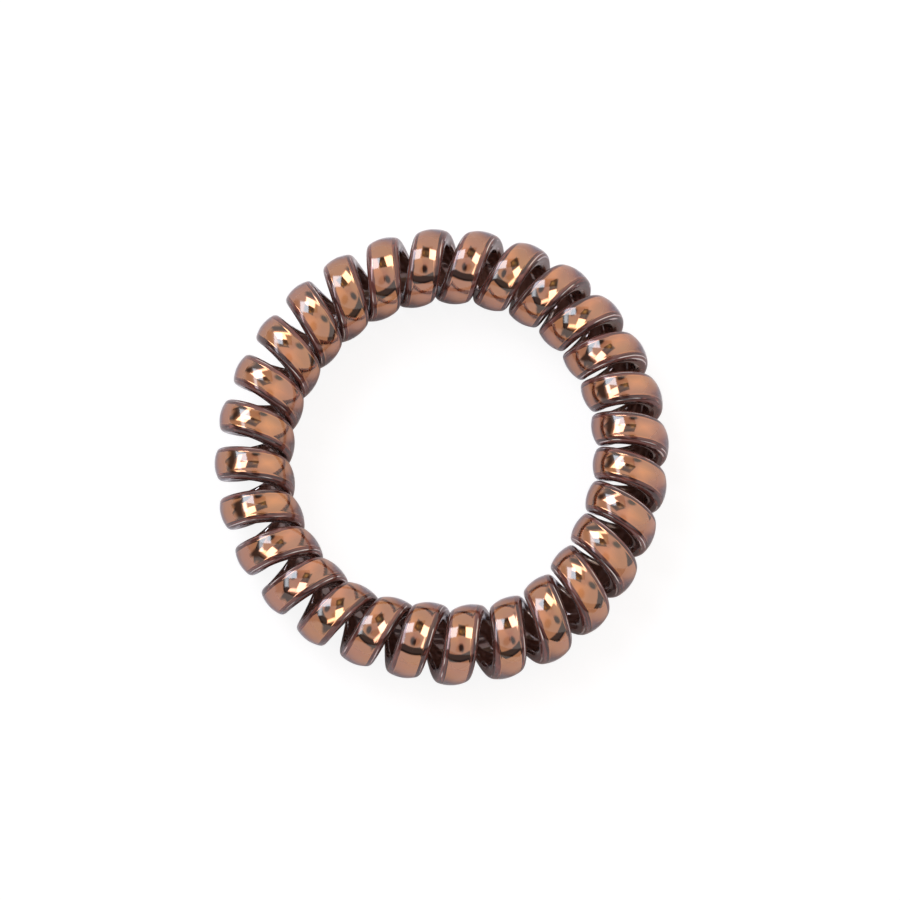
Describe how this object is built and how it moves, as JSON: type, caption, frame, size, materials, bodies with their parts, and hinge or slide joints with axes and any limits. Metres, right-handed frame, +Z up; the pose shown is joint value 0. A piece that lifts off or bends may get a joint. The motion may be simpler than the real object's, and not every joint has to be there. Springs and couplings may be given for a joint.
{
  "type": "spiral hair tie",
  "caption": "Coiled elastic hair tie: one glossy metallised plastic cord, wound like a spring and closed into a ring.",
  "frame": {"origin": "middle of the ring's box, on the surface that the ring lies on", "axes": "+Z up through the opening, across the ring's thickness; +Y towards the top of the picture, +X to its right"},
  "size_m": [0.0544, 0.0566, 0.0096],
  "materials": {
    "cord": "mirror-like copper brown metallised plastic"
  },
  "bodies": {
    "root": {"coil": "cord"}
  },
  "joints": []
}
